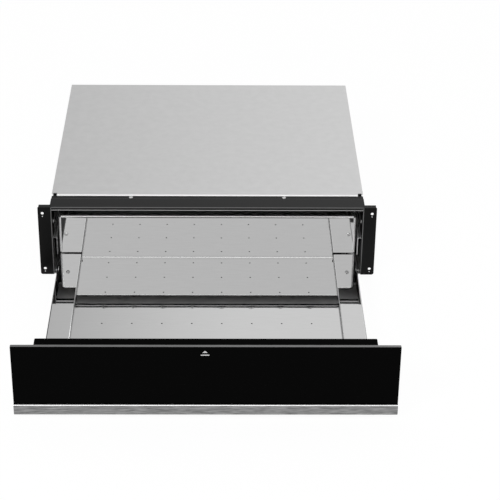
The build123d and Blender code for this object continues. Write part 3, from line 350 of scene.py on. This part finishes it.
def make_floor():
    """A wide white floor just below the object."""
    low = (-FLOOR_HALF, -FLOOR_HALF)
    high = (FLOOR_HALF, FLOOR_HALF)
    floor = flat_sheet("floor", low, high, -FLOOR_DROP, floor_paper())


def make_cards():
    """Dark cards beside the drawer, which show only in reflections as painted dark reflections."""
    dark = new_material("card_dark", grey(CARD_COLOUR), CARD_ROUGHNESS)[0]
    for name, low, high in CARDS:
        card = flat_sheet(name, low, high, CARD_HEIGHT, dark)
        card.visible_camera = False
        card.visible_diffuse = False
        card.visible_shadow = False


def make_lamp(name, place, target, width, height, radiance):
    """A soft rectangular lamp of a given radiance, turned to a point."""
    lamp = bpy.data.lights.new(name, "AREA")
    lamp.shape = "RECTANGLE"
    lamp.size = width
    lamp.size_y = height
    lamp.energy = radiance * pi * width * height
    stand = bpy.data.objects.new(name, lamp)
    stand.location = place
    stand.rotation_euler = (Vector(target) - Vector(place)).to_track_quat("-Z", "Y").to_euler()
    bpy.context.scene.collection.objects.link(stand)


def make_lamps():
    """A wide softbox behind the camera, and the smaller lamps round the object."""
    outward = (CAMERA_PLACE - SOFTBOX_TARGET).normalized()
    make_lamp(
        "front_softbox", SOFTBOX_TARGET + outward * SOFTBOX_DISTANCE, SOFTBOX_TARGET,
        SOFTBOX_SIZE, SOFTBOX_SIZE, SOFTBOX_RADIANCE,
    )
    for lamp in LAMPS:
        make_lamp(*lamp)


# ---------------------------------------------------------------- parts of a material
def new_material(name, colour, roughness, metallic=0.0, specular=0.5):
    """A material with its main settings on the shader's own sockets."""
    material = bpy.data.materials.new(name)
    material.use_nodes = True
    shader = material.node_tree.nodes["Principled BSDF"]
    shader.inputs["Base Color"].default_value = (*colour, 1.0)
    shader.inputs["Roughness"].default_value = roughness
    shader.inputs["Metallic"].default_value = metallic
    shader.inputs["Specular IOR Level"].default_value = specular
    return material, material.node_tree, shader


def pattern(tree, scale, detail, stretch=(1, 1, 1)):
    """A noise in the part's own coordinates, stretched along its axes."""
    place = tree.nodes.new("ShaderNodeTexCoord")
    mapping = tree.nodes.new("ShaderNodeMapping")
    mapping.inputs["Scale"].default_value = stretch
    noise = tree.nodes.new("ShaderNodeTexNoise")
    noise.inputs["Scale"].default_value = scale
    noise.inputs["Detail"].default_value = detail
    tree.links.new(place.outputs["Object"], mapping.inputs["Vector"])
    tree.links.new(mapping.outputs["Vector"], noise.inputs["Vector"])
    return noise.outputs["Fac"]


def roughen(tree, noise, shader, low, high):
    """Varies the roughness between two levels by a pattern."""
    tree.links.new(map_value(tree, noise, *NOISE_SPAN, low, high), shader.inputs["Roughness"])


def mottle(tree, noise, shader, colour, share):
    """Darkens and lightens a colour by a share of itself, as a pattern says."""
    ramp = tree.nodes.new("ShaderNodeValToRGB")
    for element, position, factor in zip(ramp.color_ramp.elements, NOISE_SPAN, around(1.0, share)):
        element.position = position
        element.color = (*(channel * factor for channel in colour), 1.0)
    tree.links.new(noise, ramp.inputs["Fac"])
    tree.links.new(ramp.outputs["Color"], shader.inputs["Base Color"])


def emboss(tree, value, shader, strength, height):
    """A bump of a pattern, whose height is in metres."""
    bump = tree.nodes.new("ShaderNodeBump")
    bump.inputs["Strength"].default_value = strength
    bump.inputs["Distance"].default_value = height
    tree.links.new(value, bump.inputs["Height"])
    tree.links.new(bump.outputs["Normal"], shader.inputs["Normal"])


def bend_mask(tree, limits=ALL_BENDS, side=0):
    """One along the bends of a sheet, where the surface faces no main axis.

    A side of -1 or 1 keeps it to the bends that face that way along X.
    """
    axes = normal_axes(tree)
    flatness = 0.0
    for axis in ("X", "Y", "Z"):
        square = math_node(tree, "MULTIPLY", axes[axis], axes[axis])
        flatness = math_node(tree, "ADD", math_node(tree, "MULTIPLY", square, square), flatness)
    mask = smooth_step(tree, flatness, *limits)
    if side:
        turned = math_node(tree, "MULTIPLY", axes["X"], side)
        mask = math_node(tree, "MULTIPLY", mask, math_node(tree, "GREATER_THAN", turned, SIDE_LEAN))
    return mask


def facing_mask(tree, axis, sign):
    """One where the surface faces along an axis."""
    return smooth_step(tree, math_node(tree, "MULTIPLY", normal_axes(tree)[axis], sign), *FACING)


def blend_colour(tree, mask, shader, level):
    """Lays a grey over the base colour where a mask is one."""
    socket = shader.inputs["Base Color"]
    mix = tree.nodes.new("ShaderNodeMix")
    mix.data_type = "RGBA"
    tree.links.new(mask, mix.inputs["Factor"])
    if socket.links:
        tree.links.new(socket.links[0].from_socket, mix.inputs["A"])
    else:
        mix.inputs["A"].default_value = socket.default_value
    mix.inputs["B"].default_value = (*grey(level), 1.0)
    tree.links.new(mix.outputs["Result"], socket)


def soften(tree, mask, shader, metal):
    """Makes a metal less metallic where a mask is one."""
    tree.links.new(smooth_step(tree, mask, 0.0, 1.0, 1.0, metal), shader.inputs["Metallic"])


def air_hole_dips(tree, axes):
    """A shallow dip round each hole of the floor's square field, as a height."""
    half = HOLE_SPACING / 2
    back_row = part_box("perforated_floor")[1].y - HOLE_EDGE_GAP
    sideways = math_node(tree, "SUBTRACT", axes["X"], half)
    rearward = math_node(tree, "SUBTRACT", axes["Y"], back_row)
    across = math_node(tree, "WRAP", sideways, half, -half)
    ahead = math_node(tree, "WRAP", rearward, half, -half)
    squares = [math_node(tree, "MULTIPLY", value, value) for value in (across, ahead)]
    distance = math_node(tree, "SQRT", math_node(tree, "ADD", *squares))
    return smooth_step(tree, distance, 0.0, DIP_RADIUS, -DIP_DEPTH, 0.0)


# ---------------------------------------------------------------- kinds of material
def sheet_steel(name, level, roughness, clouds=ZINC_CLOUDS, edge=ZINC_BEND_HIGHLIGHT):
    """Pale zinc-coated sheet: soft clouds in its colour, a fine skin-pass grain, and a painted
    highlight along its bends.
    """
    material, tree, shader = new_material(name, grey(level), roughness, metallic=ZINC_METAL)
    noise = pattern(tree, *clouds)
    mottle(tree, noise, shader, grey(level), ZINC_MOTTLE)
    roughen(tree, noise, shader, *around(roughness, ZINC_SPREAD))
    emboss(tree, pattern(tree, *SKIN_PASS), shader, *SKIN_PASS_BUMP)
    # Painted highlight: the bends are lightened to the edge grey.
    blend_colour(tree, bend_mask(tree), shader, edge)
    return material


def brushed_steel(name, level, roughness, stretch, contrast=STREAK_MOTTLE, metal=1.0):
    """Steel with a grain: streaks that are long along one axis, and a painted highlight along its
    bends.
    """
    material, tree, shader = new_material(name, grey(level), roughness, metallic=metal)
    streaks = pattern(tree, *STREAKS, stretch)
    mottle(tree, streaks, shader, grey(level), contrast)
    roughen(tree, streaks, shader, *around(roughness, STREAK_SPREAD))
    emboss(tree, streaks, shader, *STREAK_BUMP)
    # Painted highlight along the bends.
    blend_colour(tree, bend_mask(tree), shader, level * BRUSHED_HIGHLIGHT_GAIN)
    return material


def mirror_steel(
    name, level, bow=None, dips=False, outer=None, upturn_shade=None, edges=ALL_BENDS, bent=BEND_HIGHLIGHT_METAL,
):
    """Bright polished sheet: a mirror with a faint wave, painted highlights on its bends and a
    trace of grain.

    Bow is one of the bows above, and dips asks for a dip round each air hole. Outer is the side
    of a ledge's outer bend, and the grey of painted shade along it; the ledge's step is painted
    darker too. The upturn grey is painted shade on an upturned edge that faces the front. Edges
    says how much of a bend counts, and bent how much of a metal it is.
    """
    material, tree, shader = new_material(name, grey(level), MIRROR_ROUGHNESS[0], metallic=1.0)
    haze = pattern(tree, *MIRROR_HAZE)
    roughen(tree, haze, shader, *MIRROR_ROUGHNESS)
    mottle(tree, pattern(tree, *POLISH_GRAIN, POLISH_STRETCH), shader, grey(level), POLISH_MOTTLE)
    # Painted highlight along the bends, which are made less metallic there.
    bends = bend_mask(tree, edges)
    blend_colour(tree, bends, shader, STEEL_BEND_HIGHLIGHT)
    soften(tree, bends, shader, bent)
    # Painted shade on an upturned edge that faces the front.
    if upturn_shade:
        blend_colour(tree, facing_mask(tree, "Y", -1), shader, upturn_shade)
    # Painted shade along a ledge's outer bend and on its step.
    if outer:
        side, outer_shade_level = outer
        blend_colour(tree, bend_mask(tree, WIDE_BENDS, side), shader, outer_shade_level)
        blend_colour(tree, facing_mask(tree, "X", -side), shader, STEP_SHADE_LEVEL)
    axes = place_axes(tree)
    height = math_node(tree, "MULTIPLY", haze, HAZE_HEIGHT)
    if bow:
        axis, start, end, rise = bow
        lift = smooth_step(tree, axes[axis], start, end, 0.0, rise)
        height = math_node(tree, "ADD", height, lift)
    if dips:
        height = math_node(tree, "ADD", height, air_hole_dips(tree, axes))
    emboss(tree, height, shader, strength=1.0, height=1.0)
    return material


def painted(name, level, roughness, specular, skin=ORANGE_PEEL, bump=PAINT_BUMP, edge=None):
    """Black paint with a faintly uneven skin.

    With an edge, its colour is mottled too and its bends are lightened to that grey as a painted
    highlight.
    """
    material, tree, shader = new_material(name, grey(level), roughness, specular=specular)
    noise = pattern(tree, *skin)
    if edge:
        mottle(tree, noise, shader, grey(level), PAINT_MOTTLE)
        # Painted highlight along the bends.
        blend_colour(tree, bend_mask(tree), shader, edge)
    roughen(tree, noise, shader, *around(roughness, PAINT_SPREAD))
    emboss(tree, noise, shader, *bump)
    return material


def moulded(name, colour, roughness):
    """A moulded plastic or rubber with a fine grain and a faint mottle."""
    material, tree, shader = new_material(name, colour, roughness)
    grain = pattern(tree, *MOULD_GRAIN)
    mottle(tree, pattern(tree, *MOULD_CLOUDS), shader, colour, MOULD_MOTTLE)
    roughen(tree, grain, shader, *around(roughness, MOULD_SPREAD))
    emboss(tree, grain, shader, *MOULD_BUMP)
    return material


def rail_paint():
    """The rail's black paint, with painted light on its face and a painted highlight on its lower
    bend, standing in for light from the tray.
    """
    material = painted(
        "rail_black", level=0.0048, roughness=PAINT_ROUGHNESS, specular=0.12, edge=PAINT_BEND_HIGHLIGHT,
    )
    tree = material.node_tree
    shader = tree.nodes["Principled BSDF"]
    blend_colour(tree, facing_mask(tree, "Y", -1), shader, RAIL_FACE_PAINTED_LIGHT)
    below = math_node(tree, "LESS_THAN", normal_axes(tree)["Z"], LOWER_LEAN)
    lower_bend_highlight = math_node(tree, "MULTIPLY", bend_mask(tree, WIDE_BENDS), below)
    blend_colour(tree, lower_bend_highlight, shader, RAIL_LOWER_BEND_HIGHLIGHT)
    return material


def trim_edge():
    """The metal top edge of the glass: painted highlights along its bends, and painted shade that
    makes its front face black.
    """
    material = brushed_steel(
        "trim_edge", level=0.19, roughness=TRIM_ROUGHNESS, stretch=TRIM_STRETCH,
    )
    tree = material.node_tree
    # Painted shade on the front face.
    front = facing_mask(tree, "Y", -1)
    blend_colour(tree, front, tree.nodes["Principled BSDF"], TRIM_FRONT_SHADE)
    return material


def strip_steel():
    """The brushed strip, with painted highlights on its bends and narrow top, and painted shade
    where its top meets the glass.
    """
    material = brushed_steel(
        "strip_steel", level=TRIM_LEVEL, roughness=TRIM_ROUGHNESS, stretch=TRIM_STRETCH,
        contrast=0.45,
    )
    tree = material.node_tree
    shader = tree.nodes["Principled BSDF"]
    top = facing_mask(tree, "Z", 1)
    front_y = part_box("bottom_strip")[0].y
    shadow_fade = [front_y + distance for distance in STRIP_SHADOW_FADE]
    inner = smooth_step(tree, place_axes(tree)["Y"], *shadow_fade)
    # Painted highlights on the bends and top, and painted shade where the top meets the glass.
    blend_colour(tree, bend_mask(tree), shader, STRIP_BEND_HIGHLIGHT)
    blend_colour(tree, top, shader, STRIP_TOP_HIGHLIGHT)
    blend_colour(tree, math_node(tree, "MULTIPLY", top, inner), shader, STRIP_SHADOW_LEVEL)
    soften(tree, top, shader, STRIP_TOP_HIGHLIGHT_METAL)
    return material


# ---------------------------------------------------------------- materials of the part
def slot_materials():
    """One material for each slot of the record."""
    return {
        "zinc_sheet": sheet_steel("zinc_sheet", level=0.645, roughness=0.36),
        "slide_steel": brushed_steel(
            "slide_steel", level=0.55, roughness=0.3, stretch=(12, 1, 12), metal=ZINC_METAL,
        ),
        "frame_black": painted(
            "frame_black", level=0.0044, roughness=PAINT_ROUGHNESS, specular=0.11, edge=PAINT_BEND_HIGHLIGHT,
        ),
        "inner_front_black": painted(
            "inner_front_black", level=0.002, roughness=0.3, specular=0.004, skin=FINE_PEEL,
        ),
        "polished_steel": mirror_steel("polished_steel", level=0.54),
        "black_glass": painted(
            "black_glass", level=0.0019, roughness=0.03, specular=0.015,
            skin=GLASS_WAVE, bump=GLASS_BUMP,
        ),
        "brushed_trim": brushed_steel(
            "brushed_trim", level=TRIM_LEVEL, roughness=TRIM_ROUGHNESS, stretch=TRIM_STRETCH,
            contrast=0.4,
        ),
        "rubber_black": moulded("rubber_black", colour=grey(0.02), roughness=0.75),
        "plastic_dark": moulded("plastic_dark", colour=(0.03, 0.03, 0.033), roughness=0.45),
        "heater_metal": brushed_steel(
            "heater_metal", level=0.22, roughness=0.45, stretch=(1, 8, 8),
        ),
        "motor_steel": brushed_steel(
            "motor_steel", level=0.38, roughness=0.42, stretch=(20, 1, 1),
        ),
        "coil_red": moulded("coil_red", colour=(0.36, 0.05, 0.03), roughness=0.3),
        "bronze": brushed_steel("bronze", level=0.4, roughness=0.35, stretch=(1, 6, 6)),
        "board_green": moulded("board_green", colour=(0.02, 0.16, 0.06), roughness=0.3),
    }


def node_materials():
    """The materials of single nodes, in place of those of their slots."""
    return {
        # Each polished node has its own grey as painted light and shade: the wall darker than the
        # floor, the left ledge lighter than the right.
        "perforated_floor": mirror_steel(
            "polished_floor", level=0.57, bow=FLOOR_BOW, dips=True, upturn_shade=0.45, edges=WIDE_BENDS,
        ),
        "back_wall": mirror_steel(
            "polished_wall", level=0.465, bow=WALL_BOW, edges=WIDE_BENDS, bent=WALL_BEND_HIGHLIGHT_METAL,
        ),
        "left_ledge": mirror_steel(
            "polished_left_ledge", level=0.6, bow=LEDGE_BOW, outer=(-1, 0.03),
        ),
        "right_ledge": mirror_steel(
            "polished_right_ledge", level=0.57, bow=LEDGE_BOW, outer=(1, 0.3),
        ),
        # Zinc far lighter than the cover's, with pale bends, as painted light on its dim underside.
        "front_cross_member": sheet_steel(
            "cross_member_lightened_zinc", level=0.9, roughness=0.75, edge=0.9,
        ),
        "front_rail": rail_paint(),
        # The brackets are black as painted shade for the dark gap they sit in.
        "wall_brackets": painted("bracket_painted_shade", level=0.003, roughness=0.5, specular=0.03),
        "top_trim": trim_edge(),
        "bottom_strip": strip_steel(),
    }


def dress_nodes(by_slot, by_node):
    """Gives every node of the frame its own material, or else the one of its slot."""
    for part in frame["record"]["subparts"]:
        node = part["node"]
        mesh = frame["nodes"][node].data
        mesh.materials.clear()
        mesh.materials.append(by_node.get(node, by_slot[part["material_slot"]]))


# ---------------------------------------------------------------- added pieces
def add_piece(name, mesh, body, material):
    """A new piece with its own mesh, which rides on a body of the frame."""
    mesh.materials.append(material)
    piece = bpy.data.objects.new(name, mesh)
    bpy.context.scene.collection.objects.link(piece)
    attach(piece, body)
    return piece


def loose_parts(node):
    """The corner points of each separate solid in a node's mesh."""
    solid = bmesh.new()
    solid.from_mesh(frame["nodes"][node].data)
    bmesh.ops.remove_doubles(solid, verts=solid.verts, dist=WELD_DISTANCE)
    seen = set()
    parts = []
    for start in solid.verts:
        if start in seen:
            continue
        seen.add(start)
        group = [start]
        for vertex in group:
            for edge in vertex.link_edges:
                other = edge.other_vert(vertex)
                if other not in seen:
                    seen.add(other)
                    group.append(other)
        parts.append([vertex.co.copy() for vertex in group])
    solid.free()
    return parts


def screw_frames(node):
    """Where each screw of a node stands: a matrix whose Z points out through its head."""
    frames = []
    for number, points in enumerate(loose_parts(node)):
        low = Vector(min(point[axis] for point in points) for axis in range(3))
        high = Vector(max(point[axis] for point in points) for axis in range(3))
        middle = (low + high) / 2
        axis = min(range(3), key=lambda index: high[index] - low[index])
        widest = max(points, key=lambda point: (point - middle).length)
        facing = Vector((0, 0, 0))
        facing[axis] = 1.0 if widest[axis] > middle[axis] else -1.0
        turn = facing.to_track_quat("Z", "Y").to_matrix().to_4x4()
        spin = Matrix.Rotation(SCREW_TURN * number, 4, "Z")
        frames.append(Matrix.Translation(middle + facing * SCREW_SEAT) @ turn @ spin)
    return frames


def lathe(profile, sides):
    """A closed round solid from a profile of radius and height, from its foot to its top."""
    solid = bmesh.new()
    turns = [(cos(2 * pi * side / sides), sin(2 * pi * side / sides)) for side in range(sides)]
    rings = []
    for radius, height in profile:
        if radius == 0:
            rings.append([solid.verts.new((0, 0, height))])
        else:
            rings.append([solid.verts.new((radius * x, radius * y, height)) for x, y in turns])
    solid.faces.new(reversed(rings[0]))
    for lower, upper in zip(rings, rings[1:]):
        for side in range(sides):
            after = (side + 1) % sides
            if len(upper) == 1:
                solid.faces.new((lower[side], lower[after], upper[0]))
            else:
                solid.faces.new((lower[side], lower[after], upper[after], upper[side]))
    return solid


def new_mesh(name, solid):
    """Turns a solid under construction into a mesh, and frees it."""
    mesh = bpy.data.meshes.new(name)
    solid.to_mesh(mesh)
    solid.free()
    return mesh


def recess_cutter():
    """The cross that is cut out of a screw's head: two crossed wedges, narrower at their foot."""
    cutter = bmesh.new()
    top = SCREW_PROFILE[-1][1]
    for turn in (0.0, pi / 2):
        made = bmesh.ops.create_cube(cutter, size=1.0)["verts"]
        for vertex in made:
            narrow = RECESS_TAPER if vertex.co.z < 0 else 1.0
            vertex.co.x *= RECESS_LENGTH * narrow
            vertex.co.y *= RECESS_WIDTH
            vertex.co.z = top + 2 * RECESS_DEPTH * vertex.co.z
        bmesh.ops.rotate(cutter, verts=made, cent=(0, 0, 0), matrix=Matrix.Rotation(turn, 3, "Z"))
    return cutter


def screw_mesh():
    """One pan-head screw with a cross recess, standing on its seat along Z."""
    head = new_mesh("screw_head", lathe(SCREW_PROFILE, SCREW_SIDES))
    screw = bpy.data.objects.new("screw_head", head)
    recess = bpy.data.objects.new("screw_recess", new_mesh("screw_recess", recess_cutter()))
    for tool in (screw, recess):
        bpy.context.scene.collection.objects.link(tool)
    cut = screw.modifiers.new("recess", "BOOLEAN")
    cut.object = recess
    cut.solver = "EXACT"
    cut.use_self = True
    view = bpy.context.evaluated_depsgraph_get()
    result = bpy.data.meshes.new_from_object(screw.evaluated_get(view))
    for tool in (screw, recess):
        bpy.data.objects.remove(tool)
    return result


def make_screws(material):
    """Cross-recessed screws in the places of the plain ones."""
    single = screw_mesh()
    for node, name, body, slot in (
        ("housing_screws", "housing_screw_set", "housing", "slide_steel"),
        ("drawer_screws", "drawer_screw_set", "drawer", "polished_steel"),
    ):
        group = bmesh.new()
        for place in screw_frames(node):
            copy = single.copy()
            copy.transform(place)
            group.from_mesh(copy)
            bpy.data.meshes.remove(copy)
        for face in group.faces:
            face.smooth = False
        mesh = new_mesh(name, group)
        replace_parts(add_piece(name, mesh, body, material), node)


def make_press_mark(material):
    """The generic mark on the glass: a small triangle over a bar, where the front is pressed."""
    front_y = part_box("front_glass")[0].y
    solid = bmesh.new()
    for outline in (TRIANGLE, BAR):
        layers = []
        for depth in (-MARK_THICKNESS, MARK_THICKNESS / 2):
            layers.append([solid.verts.new((MARK_X + x, front_y + depth, z)) for x, z in outline])
        outer, inner = layers
        solid.faces.new(outer)
        solid.faces.new(reversed(inner))
        for first in range(len(outline)):
            second = (first + 1) % len(outline)
            solid.faces.new((outer[second], outer[first], inner[first], inner[second]))
    add_piece("press_mark", new_mesh("press_mark", solid), "drawer", material)


make_camera()
make_world()
make_floor()
make_cards()
make_lamps()
dress_nodes(slot_materials(), node_materials())
# The screw heads take the zinc's painted highlight where they curve.
make_screws(sheet_steel("screw_zinc", level=0.5, roughness=0.34, clouds=SCREW_CLOUDS, edge=0.62))
make_press_mark(moulded("print_white", colour=grey(0.82), roughness=0.5))

bpy.context.scene.view_settings.view_transform = "Standard"
